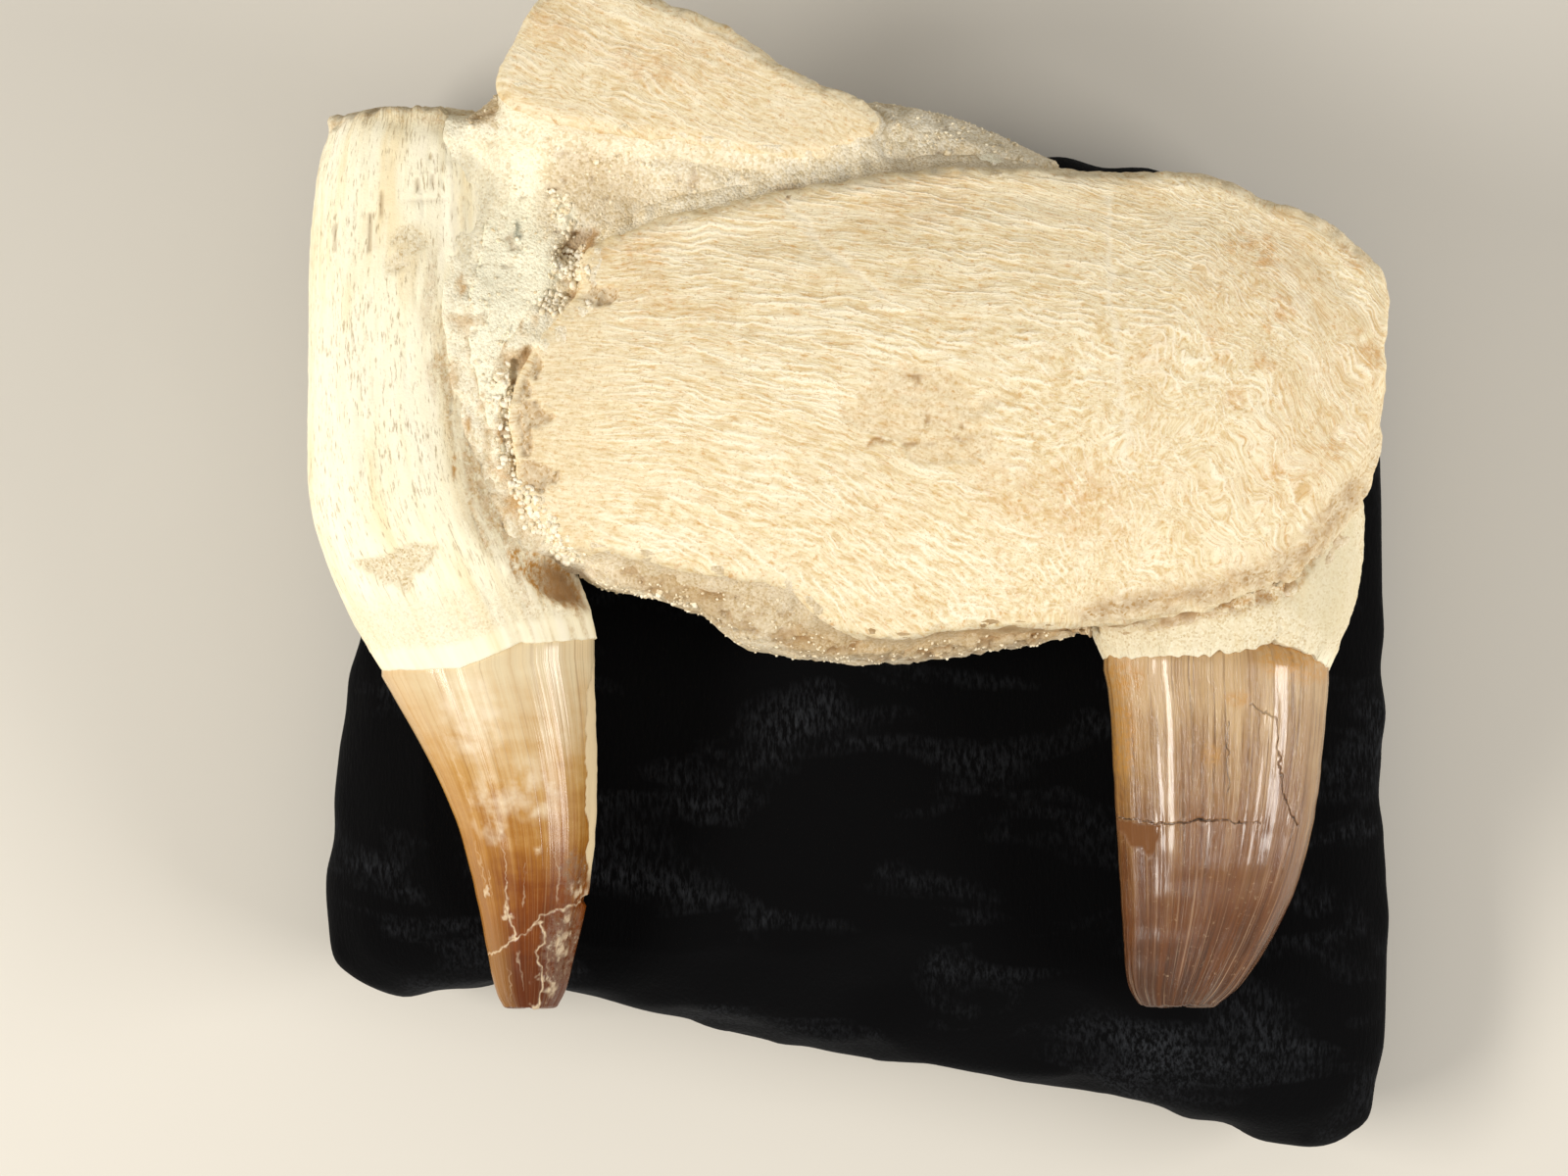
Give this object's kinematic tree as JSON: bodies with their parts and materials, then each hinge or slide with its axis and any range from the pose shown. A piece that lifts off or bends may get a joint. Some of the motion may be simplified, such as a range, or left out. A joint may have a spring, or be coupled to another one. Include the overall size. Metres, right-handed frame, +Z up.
{
  "type": "fossil mosasaur jaw",
  "caption": "Fossil marine-reptile jaw piece with long-rooted, curved, worn teeth held together by sandstone, lying on a soft black velvet display cushion.",
  "frame": {"origin": "middle of the cushion's flat base", "axes": "+X along the jaw, +Y from the tips of the teeth to the jaw's top edge, +Z up out of the face that shows"},
  "size_m": [0.1421, 0.1508, 0.0592],
  "materials": {
    "jaw_bone": "weathered fossil bone, fibrous and matte",
    "root_bone": "chalky fossil root bone, finely pored",
    "sandstone": "soft phosphatic sandstone, gritty",
    "amber_enamel": "fossil tooth enamel, amber, glossy",
    "brown_enamel": "fossil tooth enamel, brown, glossy",
    "velvet": "black velvet pile"
  },
  "bodies": {
    "root": {"jaw_bone": "jaw_bone", "upper_bone": "jaw_bone", "sandstone": "sandstone", "left_root": "root_bone", "left_crown": "amber_enamel", "right_root": "root_bone", "right_crown": "brown_enamel", "cushion": "velvet"}
  },
  "joints": []
}
